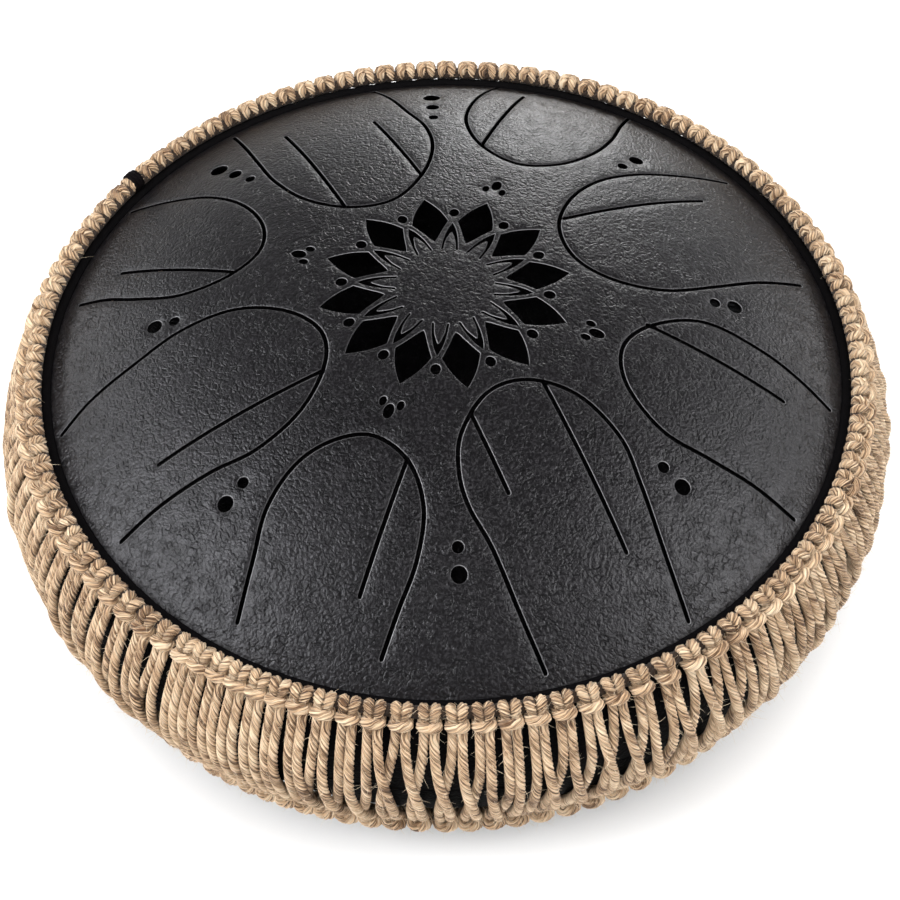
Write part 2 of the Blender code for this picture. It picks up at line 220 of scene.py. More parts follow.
# Below each pair of front hitches: share of the height at which their cords cross, or 0 where
# they only meet, and how far round the lower knot sits from the middle, in millimetres.
FRONT_CROSSINGS = ((0.0, 2.6), (0.0, 2.6), (0.0, 2.8), (0.0, 2.6), (0.0, 2.4), (0.0, 2.2),
                   (0.52, 1.4), (0.62, 1.0), (0.66, 0.8), (0.25, 0.4), (0.27, 0.2), (0.32, 0.4),
                   (0.46, 0.0), (0.70, -0.4), (0.0, -1.2), (0.45, -1.0), (0.52, -0.2),
                   (0.26, 0.0), (0.36, 0.2), (0.62, 0.0), (0.34, 0.2), (0.30, 0.4), (0.4, 0.5),
                   (0.0, 0.8), (0.5, 0.6), (0.3, 0.4), (0.0, 0.6), (0.45, 0.4))
# Distance from the axis and height above the seam of the middle of a hanging cord.
CORD_FALL = ((0.2022, 0.0360), (0.2068, 0.0275), (0.2100, 0.0185), (0.2115, 0.0065),
             (0.2105, -0.0065), (0.2070, -0.0185), (0.2030, -0.0275), (0.1990, -0.0360))
# How much further out than that the net's lower part hangs, in millimetres, every 30 degrees.
NET_SLACK = (-0.9, -2.0, -0.8, -1.0, -2.0, -2.2, 0.3, 1.4, 3.0, 1.0, 0.6, -0.9)
# How much hitches vary in width and in tilt.
HITCH_WIDTHS = (0.95, 1.05)
HITCH_TILT = 0.22
# Away from the front, what part of the cords cross, at what share of the fall, and how far the
# knots wander in mm.
CROSSED_PART = 0.6
CROSSING_HEIGHTS = (0.25, 0.70)
KNOT_WANDER = 0.7
# Where two cords cross: how far each stands out or in, over what share of the fall it leans over
# sideways, and over what share it bulges. Then how much thicker a cord gets on its way down, and
# how far it wanders in mm.
CROSSING_DEPTH = 0.0017
CROSSING_SPAN = 0.68
CROSSING_BULGE = 0.30
CORD_SWELL = 0.20
CORD_WANDER = 0.35
# Loose fibres on the twine, the ranges of their lengths and radii, and the tone that marks them.
FUZZ_PER_GROUP = 1300
FUZZ_LENGTHS = (0.0009, 0.0042)
FUZZ_RADII = (0.00006, 0.00012)
FUZZ_TONE = 1.25

# One half of a hitch, from its leg up over the ring, round behind it and out under it to the
# middle of the bar in front: sideways in millimetres, degrees round the ring from outwards,
# millimetres from the ring's middle, thickness and twist against the hanging cord's. The other
# half mirrors it. On the lower ring it hangs upside down.
UPPER_LEG = ((-2.0, -46, 6.2, 1.00, 1.0), (-1.9, -32, 4.0, 1.00, 1.5))
LOWER_LEG = ((-2.1, -62, 5.0, 1.10, 1.0), (-2.0, -45, 3.5, 1.05, 1.5))
HITCH = ((-1.85, -8, 2.4, 1.05, 2.2), (-2.1, 35, 2.15, 1.17, 2.4), (-2.4, 80, 2.1, 1.22, 2.4),
         (-2.5, 125, 2.1, 1.18, 2.2), (-2.6, 170, 2.3, 1.00, 1.4), (-2.9, 215, 2.6, 0.92, 1.0),
         (-3.1, 262, 3.4, 0.84, 0.9))
UPPER_BAR = ((-3.4, 305, 4.7, 0.84, 0.9), (-3.5, 338, 5.7, 0.92, 0.8), (-2.3, 348, 6.3, 1.00, 0.8),
             (0.0, 345, 6.6, 1.06, 0.8))
LOWER_BAR = ((-3.6, 300, 4.5, 0.86, 0.9), (-4.0, 336, 5.2, 0.98, 0.8), (-2.4, 352, 5.4, 1.12, 0.8),
             (0.0, 362, 5.4, 1.18, 0.8))

# Rubber feet: how many, the steps round each, how much wider its top is than its base, how deep
# it is hollowed underneath, and the gap between its top and the shell.
FOOT_COUNT = 4
FOOT_STEPS = 64
FOOT_FLARE = 0.0015
FOOT_RECESS = 0.0008
FOOT_GAP = 0.0004

# Camera and light.
CAMERA_LENS = 73.1
CAMERA_PLACE = (0.0014, -0.5525, 0.8080)
CAMERA_ELEVATION = 53.42
CAMERA_ROLL = -0.63
FLOOR_REACH = 6.0
# Strength of the room's light low down and high up, and the heights of the change between them.
WORLD_LOW = 0.34
WORLD_HIGH = 0.02
WORLD_CHANGE = (0.10, 0.80)
# Name, place, width, watts, colour, and whether the lamp only gives a reflection. The other
# lamps only light the drum, and have no reflection in it.
LAMPS = (("overhead_light", (0.0, -0.3, 2.3), 2.4, 84.0, (1.0, 0.99, 0.98), False),
         ("front_light", (-0.4, -1.5, 1.1), 1.0, 6.0, (1.0, 0.99, 0.97), False),
         ("left_light", (-1.45, -0.50, 1.05), 0.80, 22.0, (0.97, 0.98, 1.0), False),
         ("right_light", (1.45, -0.40, 1.10), 0.80, 13.0, (0.99, 0.99, 1.0), False),
         ("left_sheen_light", (-1.36, -0.32, 1.16), 0.80, 21.0, (0.94, 0.95, 1.0), True),
         ("left_rim_light", (-1.42, 0.95, 0.42), 0.40, 4.0, (0.96, 0.97, 1.0), True),
         ("right_sheen_light", (1.36, -0.32, 1.12), 0.80, 15.0, (0.97, 0.97, 1.0), True),
         ("right_rim_light", (1.42, 0.95, 0.42), 0.40, 4.0, (0.98, 0.98, 1.0), True),
         ("back_light", (0.30, 1.78, 0.36), 0.50, 9.0, (1.0, 1.0, 1.0), True))


# ---------------------------------------------------------------- shapes in the plan and profile


def shell_drop(radius):
    """How far the shell has fallen below its crown at this distance from the axis."""
    if radius <= SHOULDER_RADIUS:
        share = (radius / SHOULDER_RADIUS) ** 2
        return SHOULDER_DROP * share * (1 - DOME_ROUNDNESS * (1 - share))
    reach = EQUATOR_RADIUS - SHOULDER_RADIUS
    t = 1 - math.sqrt(max(0.0, 1 - (radius - SHOULDER_RADIUS) / reach))
    return shoulder_point(t)[1]


def shoulder_point(t):
    """(radius, drop) on the shoulder, from t = 0 at the dome to t = 1 at the open edge."""
    reach = EQUATOR_RADIUS - SHOULDER_RADIUS
    slope = SHOULDER_DROP * 2 / SHOULDER_RADIUS * (1 + DOME_ROUNDNESS)
    corner_drop = SHOULDER_DROP + reach * slope
    edge_drop = SHELL_RISE - SEAM_GAP / 2
    drop = SHOULDER_DROP * (1 - t) ** 2 + corner_drop * 2 * t * (1 - t) + edge_drop * t * t
    return SHOULDER_RADIUS + reach * (2 * t - t * t), drop


def shoulder_share(radius):
    """The t of shoulder_point at this distance from the axis."""
    return 1 - math.sqrt(1 - (radius - SHOULDER_RADIUS) / (EQUATOR_RADIUS - SHOULDER_RADIUS))


def offset_profile(points, distance):
    """Move a (radius, drop) profile square to itself, outwards where distance is positive."""
    moved = []
    for index, (radius, drop) in enumerate(points):
        before = points[max(index - 1, 0)]
        after = points[min(index + 1, len(points) - 1)]
        run, fall = after[0] - before[0], after[1] - before[1]
        length = math.hypot(run, fall)
        moved.append((radius + distance * fall / length, drop - distance * run / length))
    return moved


def smooth_run(points, spacing=None, steps=None):
    """A smooth open curve through plan points, by Catmull-Rom."""
    points = [Vector(point) for point in points]
    padded = [points[0] * 2 - points[1], *points, points[-1] * 2 - points[-2]]
    run = []
    for a, b, c, d in zip(padded, padded[1:], padded[2:], padded[3:]):
        count = steps or max(1, round((c - b).length / spacing))
        for step in range(count):
            t = step / count
            run.append(0.5 * (2 * b + (c - a) * t + (2 * a - 5 * b + 4 * c - d) * t * t
                              + (3 * b - a - 3 * c + d) * t ** 3))
    run.append(points[-1])
    return run


def slit_outline(run, width):
    """The closed outline of a slit of this width along a plan run, rounded at both ends."""
    left, right = [], []
    for index, point in enumerate(run):
        along = run[min(index + 1, len(run) - 1)] - run[max(index - 1, 0)]
        side = Vector((-along.y, along.x)).normalized() * width / 2
        left.append(point + side)
        right.append(point - side)
    outline = []
    for tip, edge in ((run[0], right[0]), (run[-1], left[-1])):
        spoke = edge - tip
        for turn in (45, 90, 135):
            outline.append(tip + Matrix.Rotation(-math.radians(turn), 2) @ spoke)
    return outline[:3] + left + outline[3:] + right[::-1]


def placed(points, degrees):
    """(outwards, sideways) points in millimetres, turned to a direction on the drum."""
    turn = math.radians(degrees)
    outwards = Vector((math.cos(turn), math.sin(turn)))
    sideways = Vector((-math.sin(turn), math.cos(turn)))
    return [(outwards * out + sideways * side) * MM for out, side in points]


def oval(centre, half_sizes, steps=HOLE_STEPS):
    """An oval outline in (outwards, sideways) millimetres."""
    angles = [2 * math.pi * step / steps for step in range(steps)]
    return [(centre[0] + half_sizes[0] * math.cos(angle),
             centre[1] + half_sizes[1] * math.sin(angle)) for angle in angles]


def mirrored(points):
    """Complete a half outline that starts and ends on its line of symmetry."""
    return points + [Vector((point[0], -point[1])) for point in reversed(points[1:-1])]


def counter_clockwise(outline):
    """The same outline, turning to the left."""
    area = sum(a.x * b.y - b.x * a.y for a, b in zip(outline, outline[1:] + outline[:1]))
    return outline if area > 0 else outline[::-1]


def grown(outline, distance):
    """A counter-clockwise outline moved outwards by a distance."""
    moved = []
    for before, point, after in zip(outline[-1:] + outline[:-1], outline, outline[1:] + outline[:1]):
        into, out_of = (point - before).normalized(), (after - point).normalized()
        along = into + out_of
        if along.length < 1e-6:
            along = into
        along.normalize()
        reach = distance / max(0.5, along.dot(into))
        moved.append(point + Vector((along.y, -along.x)) * reach)
    return moved


def slit_outlines():
    """Plan outlines of the tongues' slits and their relief slits, each with its kind."""
    outlines = []
    for tongue in TONGUES.values():
        for points in [tongue["slit"], *tongue["reliefs"]]:
            run = smooth_run([Vector(point) * MM for point in points], SLIT_SPACING)
            outlines.append((slit_outline(run, SLIT_WIDTH), "slit"))
    return outlines


def sound_hole_outlines():
    """Plan outlines of the lotus, the round holes and the oval clusters, each with its kind."""
    outlines = []
    pitch = 360 / LOTUS_COUNT
    petal = smooth_run(LOTUS_PETAL_TIP, steps=PETAL_STEPS)
    petal = mirrored(petal + smooth_run(LOTUS_PETAL_FOOT, steps=PETAL_STEPS)[1:])
    leaf = smooth_run(LOTUS_LEAF_OUTER, steps=PETAL_STEPS) + smooth_run(LOTUS_LEAF_END, steps=2)[1:]
    leaf = mirrored(leaf + smooth_run(LOTUS_LEAF_INNER, steps=PETAL_STEPS)[1:])
    dot = oval((LOTUS_DOT_DISTANCE, 0.0), (LOTUS_DOT_RADIUS * 1.15, LOTUS_DOT_RADIUS))
    for index in range(LOTUS_COUNT):
        petal_angle = LOTUS_FIRST_PETAL - pitch * index
        outlines.append((placed(petal, petal_angle), "lotus"))
        outlines.append((placed(leaf, petal_angle + pitch / 2), "lotus"))
        outlines.append((placed(dot, petal_angle + pitch / 2), "lotus"))
    for angle, holes in HOLE_GROUPS.values():
        for distance, radius in holes:
            outlines.append((placed(oval((distance, 0.0), (radius, radius)), angle), "round"))
    for angle in CLUSTER_ANGLES:
        for centre, half_sizes in CLUSTER_OVALS:
            outlines.append((placed(oval(centre, half_sizes), angle), "round"))
    return outlines


# ---------------------------------------------------------------- meshes


def new_piece(name, verts, faces, material, replaces, sharp_angle=50):
    """A named mesh piece on the drum's one body, shaded smooth except at sharp edges."""
    mesh = bpy.data.meshes.new(name)
    mesh.from_pydata([tuple(vert) for vert in verts], [], faces)
    mesh.materials.append(material)
    mesh.shade_smooth()
    mesh.set_sharp_from_angle(angle=math.radians(sharp_angle))
    piece = bpy.data.objects.new(name, mesh)
    bpy.context.scene.collection.objects.link(piece)
    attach(piece, "root")
    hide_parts(*replaces)
    return piece


def band(here, there, flipped=False):
    """Quads that join two closed loops of verts, or the same quads facing the other way."""
    here_next, there_next = here[1:] + here[:1], there[1:] + there[:1]
    if flipped:
        return list(zip(here, there, there_next, here_next))
    return list(zip(here, here_next, there_next, there))


def stacked_bands(first, rings, sides):
    """Quads that join rings of verts which follow each other from a first vert on."""
    loops = [list(range(first + ring * sides, first + (ring + 1) * sides)) for ring in range(rings)]
    return [face for here, there in zip(loops, loops[1:]) for face in band(here, there)]


def turned(outline, steps=TURN_STEPS, closed=True):
    """Verts and faces of a (radius, height) outline turned about the drum's axis.

    A counter-clockwise outline gives faces that point out of the solid.
    """
    verts, faces = [], []
    for step in range(steps):
        angle = 2 * math.pi * step / steps
        verts += [(radius * math.cos(angle), radius * math.sin(angle), height)
                  for radius, height in outline]
    count = len(outline)
    for step in range(steps):
        here, there = step * count, (step + 1) % steps * count
        for index in range(count if closed else count - 1):
            after = (index + 1) % count
            faces.append((here + index, there + index, there + after, here + after))
    return verts, faces


def edge_highlight_round(outline, kind):
    """How strong the painted highlight on the edge of a hole is at each point of it, from 0 to 1."""
    highlight_way = Vector(SLIT_HIGHLIGHT_WAY if kind == "slit" else HOLE_HIGHLIGHT_WAY)
    painted_highlight_and_shade = []
    for before, after in zip(outline[-1:] + outline[:-1], outline[1:] + outline[:1]):
        along = (after - before).normalized()
        out_of_hole = Vector((along.y, -along.x))
        painted_highlight_and_shade.append(LEAST_EDGE_HIGHLIGHT + FACING_EDGE_HIGHLIGHT * max(0.0, out_of_hole.dot(highlight_way)))
    return painted_highlight_and_shade


def plan_mesh(outlines):
    """Triangles of the dome's plan with the outlines cut out, and the painted highlight at each vert."""
    points, loops, edges, painted_highlight_and_shade = [], [], [], []
    for outline, kind in outlines:
        outline = counter_clockwise(outline)
        first = len(points)
        points += outline
        painted_highlight_and_shade += edge_highlight_round(outline, kind)
        loops.append(list(range(first, len(points))))
        eased = grown(outline, EDGE_EASE)
        first = len(points)
        points += eased
        painted_highlight_and_shade += [0.0] * len(eased)
        ring = list(range(first, len(points)))
        edges += list(zip(ring, ring[1:] + ring[:1]))
    busy = np.array(points)
    circle = [Vector((PLAN_RADIUS * math.cos(2 * math.pi * step / TURN_STEPS),
                      PLAN_RADIUS * math.sin(2 * math.pi * step / TURN_STEPS)))
              for step in range(TURN_STEPS)]
    rings = int(PLAN_RADIUS / PLAN_SPACING)
    field = [(0.0, 0.0)]
    for ring in range(1, rings):
        radius = PLAN_RADIUS * ring / rings
        count = round(2 * math.pi * ring)
        for step in range(count):
            angle = 2 * math.pi * (step + ring % 2 / 2) / count
            field.append((radius * math.cos(angle), radius * math.sin(angle)))
    field = np.array(field)
    nearest = np.concatenate([np.linalg.norm(part[:, None] - busy[None], axis=2).min(axis=1)
                              for part in np.array_split(field, 40)])
    points += [Vector(point) for point in field[nearest > PLAN_SPACING * 0.45]]
    points += circle
    painted_highlight_and_shade += [0.0] * (len(points) - len(painted_highlight_and_shade))
    plan, _, triangles, sources, _, owners = delaunay_2d_cdt(points, edges, loops, 0, 1e-7, True)
    kept = [tuple(face) for face, owner in zip(triangles, owners) if not owner]
    return plan, kept, [max([painted_highlight_and_shade[index] for index in source], default=0.0) for source in sources]


def build_playing_shell(steel):
    """The upper half: a dome with eased slits and holes, and its shoulder down to the seam."""
    plan, kept, painted_highlight_and_shade = plan_mesh(slit_outlines() + sound_hole_outlines())
    used = sorted({index for face in kept for index in face})
    place = {index: order for order, index in enumerate(used)}
    kept = [tuple(place[index] for index in face) for face in kept]
    plan = [plan[index] for index in used]
    painted_highlight_and_shade = [painted_highlight_and_shade[index] for index in used]
    directed = {(face[i], face[(i + 1) % 3]) for face in kept for i in range(3)}
    open_edges = [edge for edge in directed if edge[::-1] not in directed]
    outside = {index for index, point in enumerate(plan) if point.length > PLAN_RADIUS - 1e-6}
    hole_edges = [edge for edge in open_edges if not (edge[0] in outside and edge[1] in outside)]
    rim_edges = [edge for edge in open_edges if edge[0] in outside and edge[1] in outside]
    eased = {index for edge in hole_edges for index in edge}
    top, under = [], []
    for index, point in enumerate(plan):
        radius = point.length
        slope = (shell_drop(radius + 1e-5) - shell_drop(max(radius - 1e-5, 0.0))) / 2e-5
        height = CROWN_HEIGHT - shell_drop(radius)
        top.append((point.x, point.y, height - (EDGE_DEPTH if index in eased else 0.0)))
        under.append((point.x, point.y, height - SHELL_THICKNESS * math.hypot(1.0, slope)))
    size = len(top)
    verts = top + under
    faces = list(kept)
    faces += [tuple(index + size for index in reversed(face)) for face in kept]
    # Each hole's wall has a loop just below its edge, where the painted highlight stops.
    wall = {index: len(verts) + order for order, index in enumerate(sorted(eased))}
    verts += [(top[index][0], top[index][1], top[index][2] - EDGE_HIGHLIGHT_DEPTH) for index in sorted(eased)]
    for a, b in hole_edges:
        faces.append((b, a, wall[a], wall[b]))
        faces.append((wall[b], wall[a], a + size, b + size))
    # The wall loop and the inside of the dome get -1, which the steel paints as shade.
    painted_highlight_and_shade += [-1.0] * (len(verts) - size)

    painted_highlight_and_shade = np.array(painted_highlight_and_shade)
    # The shoulder goes on from the rim of the plan, outside and inside.
    start = shoulder_share(PLAN_RADIUS)
    shares = [start + (1 - start) * step / RIM_STEPS for step in range(RIM_STEPS + 1)]
    outer = [shoulder_point(share) for share in shares]
    inner = offset_profile(outer, -SHELL_THICKNESS)
    inner[-1] = (EQUATOR_RADIUS - SHELL_THICKNESS, outer[-1][1])
    previous_outer = sorted((edge[0] for edge in rim_edges),
                            key=lambda index: math.atan2(plan[index].y, plan[index].x))
    previous_inner = [index + size for index in previous_outer]
    turn = [plan[index].normalized() for index in previous_outer]
    for (outer_radius, outer_drop), (inner_radius, inner_drop) in zip(outer[1:], inner[1:]):
        first = len(verts)
        verts += [(way.x * outer_radius, way.y * outer_radius, CROWN_HEIGHT - outer_drop)
                  for way in turn]
        next_outer = list(range(first, len(verts)))
        first = len(verts)
        verts += [(way.x * inner_radius, way.y * inner_radius, CROWN_HEIGHT - inner_drop)
                  for way in turn]
        next_inner = list(range(first, len(verts)))
        faces += band(previous_outer, next_outer, flipped=True)
        faces += band(previous_inner, next_inner)
        previous_outer, previous_inner = next_outer, next_inner
    faces += band(previous_outer, previous_inner, flipped=True)
    piece = new_piece("playing_shell", verts, faces, steel, ["top_shell"])
    attribute = piece.data.attributes.new("painted_highlight_and_shade", "FLOAT", "POINT")
    painted_highlight_and_shade = np.concatenate([painted_highlight_and_shade, np.zeros(len(verts) - len(painted_highlight_and_shade))])
    attribute.data.foreach_set("value", painted_highlight_and_shade.astype(np.float32))
    return piece


def build_lower_shell(steel):
    """The plain lower half, closed underneath."""
    radii = [SHOULDER_RADIUS * step / LOWER_DOME_STEPS for step in range(1, LOWER_DOME_STEPS)]
    outer = [(radius, shell_drop(radius)) for radius in radii]
    outer += [shoulder_point(step / RIM_STEPS) for step in range(RIM_STEPS + 1)]
    inner = offset_profile(outer, -SHELL_THICKNESS)
    inner[-1] = (EQUATOR_RADIUS - SHELL_THICKNESS, outer[-1][1])
    outline = [(radius, UNDERSIDE_HEIGHT + drop) for radius, drop in outer + inner[::-1]]
    verts, faces = turned(outline, closed=False)
    # The open strip is closed at the middle by one pole outside and one inside.
    count = len(outline)
    poles = (len(verts), len(verts) + 1)
    verts += [(0.0, 0.0, UNDERSIDE_HEIGHT), (0.0, 0.0, UNDERSIDE_HEIGHT + SHELL_THICKNESS)]
    for step in range(TURN_STEPS):
        here, there = step * count, (step + 1) % TURN_STEPS * count
        faces.append((poles[0], there, here))
        faces.append((poles[1], here + count - 1, there + count - 1))
    return new_piece("resonator_shell", verts, faces, steel, ["bottom_shell"])


def build_seam(adhesive):
    """The bead between the two halves, with a slightly hollow face."""
    half = SEAM_GAP / 2 - SEAM_CLEARANCE
    outer, inner = EQUATOR_RADIUS - SEAM_INSET, EQUATOR_RADIUS - SHELL_THICKNESS - SEAM_SQUEEZE
    hollow = outer - SEAM_HOLLOW
    outline = [(inner, SEAM_HEIGHT - half), (outer, SEAM_HEIGHT - half),
               (hollow, SEAM_HEIGHT - half / 3), (hollow, SEAM_HEIGHT + half / 3),
               (outer, SEAM_HEIGHT + half), (inner, SEAM_HEIGHT + half)]
    verts, faces = turned(outline)
    return new_piece("seam_filler", verts, faces, adhesive, ["seam_bead"])


def build_rim_strip(matt_black):
    """The soft black strip that the upper ring bears on, with as many dents as there are hitches; its
    black is painted shade under the ring.
    """
    def surface(radius):
        return CROWN_HEIGHT - shell_drop(radius)

    outline = []
    for radius, thickness in RIM_STRIP:
        fall = (surface(radius - 0.0002) - surface(radius + 0.0002)) / 0.0004
        length = math.hypot(1.0, fall)
        outline.append((radius + thickness * fall / length, surface(radius) + thickness / length))
    under = [(radius, surface(radius) - STRIP_ROOT) for radius, thickness in RIM_STRIP[1:-1]]
    verts, faces = turned(under + outline[::-1], steps=DENT_STEPS * len(hitch_angles()))
    count = len(under) + len(outline)
    for index, (x, y, z) in enumerate(verts):
        step, place = divmod(index, count)
        if place >= len(under):
            share = max(0.0, 1 - abs((place - len(under)) / len(outline) - 0.5) * 2)
            dent = STRIP_DENT * share * math.cos(2 * math.pi * step / DENT_STEPS)
            verts[index] = (x, y, z + dent)
    return new_piece("rim_shade_strip", verts, faces, matt_black, ["rim_strip"])


# ---------------------------------------------------------------- rope


def catmull_rom(controls, steps):
    """Rows of control values, smoothed to several rows for each stretch."""
    controls = np.asarray(controls, float)
    padded = np.vstack([2 * controls[0] - controls[1], controls, 2 * controls[-1] - controls[-2]])
    a, b, c, d = padded[:-3], padded[1:-2], padded[2:-1], padded[3:]
    rows = []
    for step in range(steps):
        t = step / steps
        rows.append(0.5 * (2 * b + (c - a) * t + (2 * a - 5 * b + 4 * c - d) * t * t
                           + (3 * b - a - 3 * c + d) * t ** 3))
    rows = np.stack(rows, axis=1).reshape(-1, controls.shape[1])
    return np.vstack([rows, controls[-1]])


def evenly_spaced(rows, spacing):
    """Rows resampled to an even spacing along their first three columns."""
    lengths = np.linalg.norm(np.diff(rows[:, :3], axis=0), axis=1)
    travelled = np.concatenate([[0.0], np.cumsum(lengths)])
    count = max(2, round(travelled[-1] / spacing))
    stops = np.linspace(0.0, travelled[-1], count + 1)
    return np.stack([np.interp(stops, travelled, column) for column in rows.T], axis=1), stops


def carried_normals(points):
    """A normal at each point of a path that turns as little as it can."""
    tangents = np.gradient(points, axis=0)
    tangents /= np.linalg.norm(tangents, axis=1)[:, None]
    normal = Vector(tangents[0]).orthogonal().normalized()
    normals = [normal]
    for before, after in zip(tangents, tangents[1:]):
        turn = Vector(before).rotation_difference(Vector(after))
        normal = turn @ normal
        normal = (normal - Vector(after) * normal.dot(Vector(after))).normalized()
        normals.append(normal)
    return tangents, np.array([tuple(normal) for normal in normals])


class Twine:
    """Gathers twisted cords into one mesh, with what their material needs at each vert."""

    def __init__(self):
        self.verts, self.faces, self.strand, self.groove, self.tone = [], [], [], [], []
        self.count = 0

    def add(self, verts, faces, strand, groove, tone):
        """Take in some verts, faces that count from those verts, and their attributes."""
        self.verts.append(verts)
        self.faces += [tuple(index + self.count for index in face) for face in faces]
        self.strand.append(strand)
        self.groove.append(groove)
        self.tone.append(tone)
        self.count += len(verts)

    def add_cord(self, rows, tone, spacing=TWINE_STEP, sides=TWINE_SIDES, plies=TWINE_PLIES):
        """A twisted cord along rows of x, y, z, radius and twist in turns per metre."""
        rows, stops = evenly_spaced(rows, spacing)
        points, radii, twist = rows[:, :3], rows[:, 3], rows[:, 4]
        tangents, normals = carried_normals(points)
        sides_way = np.cross(tangents, normals)
        phase = np.concatenate([[0.0], np.cumsum((twist[1:] + twist[:-1]) / 2 * np.diff(stops))])
        phase *= 2 * math.pi
        around = np.arange(sides) * 2 * math.pi / sides
        angle = around[None, :] + phase[:, None]
        ply = np.abs(np.cos((around + math.pi / sides) * plies / 2))
        profile = 0.80 + 0.25 * ply
        reach = radii[:, None] * profile[None, :]
        verts = (points[:, None, :] + (reach * np.cos(angle))[..., None] * normals[:, None, :]
                 + (reach * np.sin(angle))[..., None] * sides_way[:, None, :]).reshape(-1, 3)
        count = len(points)
        faces = stacked_bands(0, count, sides)
        faces.append(tuple(reversed(range(sides))))
        faces.append(tuple(range((count - 1) * sides, count * sides)))
        start = tone * 0.37
        strand = np.stack([np.tile(np.cos(around) * TWINE_RADIUS, (count, 1)),
                           np.tile(np.sin(around) * TWINE_RADIUS, (count, 1)),
                           np.repeat(stops[:, None] + start, sides, axis=1)], axis=2)
        # groove is 1 between the plies, where the jute paints shade.
        groove = np.tile(1 - ply, (count, 1))
        self.add(verts, faces, strand.reshape(-1, 3), groove.reshape(-1),
                 np.full(len(verts), tone))
        return points, radii

    def add_fuzz(self, roots, ways, generator):
        """Short loose fibres that leave the cords at these roots, each in its own direction."""
        count = len(roots)
        shortest, longest = FUZZ_LENGTHS
        length = shortest + (longest - shortest) * generator.uniform(0.0, 1.0, count) ** 1.8
        bend = generator.normal(0.0, 0.55, (count, 3))
        thick = generator.uniform(*FUZZ_RADII, count)
        rings, sides = 5, 3
        share = np.linspace(0.0, 1.0, rings)
        path = (roots[:, None, :] + share[None, :, None] * (ways * length[:, None])[:, None, :]
                + (share ** 2)[None, :, None] * (bend * length[:, None])[:, None, :])
        along = np.gradient(path, axis=1)
        along /= np.linalg.norm(along, axis=2)[..., None]
        helper = np.cross(along, generator.normal(0.0, 1.0, (count, 1, 3)))
        helper /= np.linalg.norm(helper, axis=2)[..., None]
        other = np.cross(along, helper)
        around = np.arange(sides) * 2 * math.pi / sides
        reach = (thick[:, None] * (1.0 - 0.75 * share)[None, :])[..., None, None]
        verts = (path[:, :, None, :]
                 + reach * (np.cos(around)[None, None, :, None] * helper[:, :, None, :]
                            + np.sin(around)[None, None, :, None] * other[:, :, None, :]))
        faces = []
        for fibre in range(count):
            base = fibre * rings * sides
            faces += stacked_bands(base, rings, sides)
            faces.append((base + 2, base + 1, base))
            last = base + (rings - 1) * sides
            faces.append((last, last + 1, last + 2))
        total = count * rings * sides
        strand = np.repeat(roots, rings * sides, axis=0)
        self.add(verts.reshape(-1, 3), faces, strand, np.zeros(total), np.full(total, FUZZ_TONE))

    def piece(self, name, material, replaces):
        """The gathered cords as one piece of the drum."""
        piece = new_piece(name, np.concatenate(self.verts), self.faces, material,
                          replaces, sharp_angle=180)
        for attribute, kind, field, values in (("strand", "FLOAT_VECTOR", "vector", self.strand),
                                               ("groove", "FLOAT", "value", self.groove),
                                               ("tone", "FLOAT", "value", self.tone)):
            stored = piece.data.attributes.new(attribute, kind, "POINT")
            values = np.concatenate(values).reshape(-1).astype(np.float32)
            stored.data.foreach_set(field, values)
        return piece


def hitch_angles():
    """Directions of all hitches in degrees, counter-clockwise from the first front one."""
    spread = FRONT_HITCHES[0] + 360 - FRONT_HITCHES[-1]
    others = [FRONT_HITCHES[-1] + spread * (step + 1) / (OTHER_HITCHES + 1)
              for step in range(OTHER_HITCHES)]
    return [*FRONT_HITCHES, *others]


def crossings(generator, count):
    """(share of height or 0, shift in metres) for the lower knot after each hitch."""
    result = [(share, shift * MM) for share, shift in FRONT_CROSSINGS]
    while len(result) < count:
        share = generator.uniform(*CROSSING_HEIGHTS) if generator.random() < CROSSED_PART else 0.0
        result.append((share, generator.normal(0.0, KNOT_WANDER) * MM))
    return result


def knot(centre, side, generator):
    """Control rows of one lark's head, seen from outside, from one leg round to the other.

    centre is the knot's direction in radians. side is 1 on the upper ring and -1 on the lower
    one, where the same knot hangs upside down.
    Each row is direction, distance from the axis, height above the seam, radius and twist.
    """
    width = generator.uniform(*HITCH_WIDTHS)
    tilt = generator.normal(0.0, HITCH_TILT)
    foot, bar = (UPPER_LEG, UPPER_BAR) if side == 1 else (LOWER_LEG, LOWER_BAR)
    rows = [(*row, 0.0) for row in foot + HITCH] + [(*row, 1.0) for row in bar]
    rows += [(-out, turn, reach, thick, -twist if turn < 150 else twist, share)
             for out, turn, reach, thick, twist, share in reversed(rows[:-1])]
    result = []
    for out, turn, reach, thick, twist, share in rows:
        angle = math.radians(turn)
        radius = RING_RADIUS + reach * MM * math.cos(angle)
        radius += slack(centre, 1.0) if side == -1 else min(0.0, slack(centre, 0.8)) * share
        height = side * (RING_OFFSET + (reach * math.sin(angle) + share * tilt * out / 3) * MM)
        result.append((centre + out * width * MM / RING_RADIUS, radius, height,
                       TWINE_RADIUS * thick, TWINE_TURNS * twist))
    return result


def slack(direction, share):
    """How much further out the net hangs in this direction, at a share of its full slack."""
    place = math.degrees(direction) % 360 / 30
    index = int(place)
    blend = place - index
    blend = blend * blend * (3 - 2 * blend)
    here, there = NET_SLACK[index % 12], NET_SLACK[(index + 1) % 12]
    return (here + (there - here) * blend) * share * MM


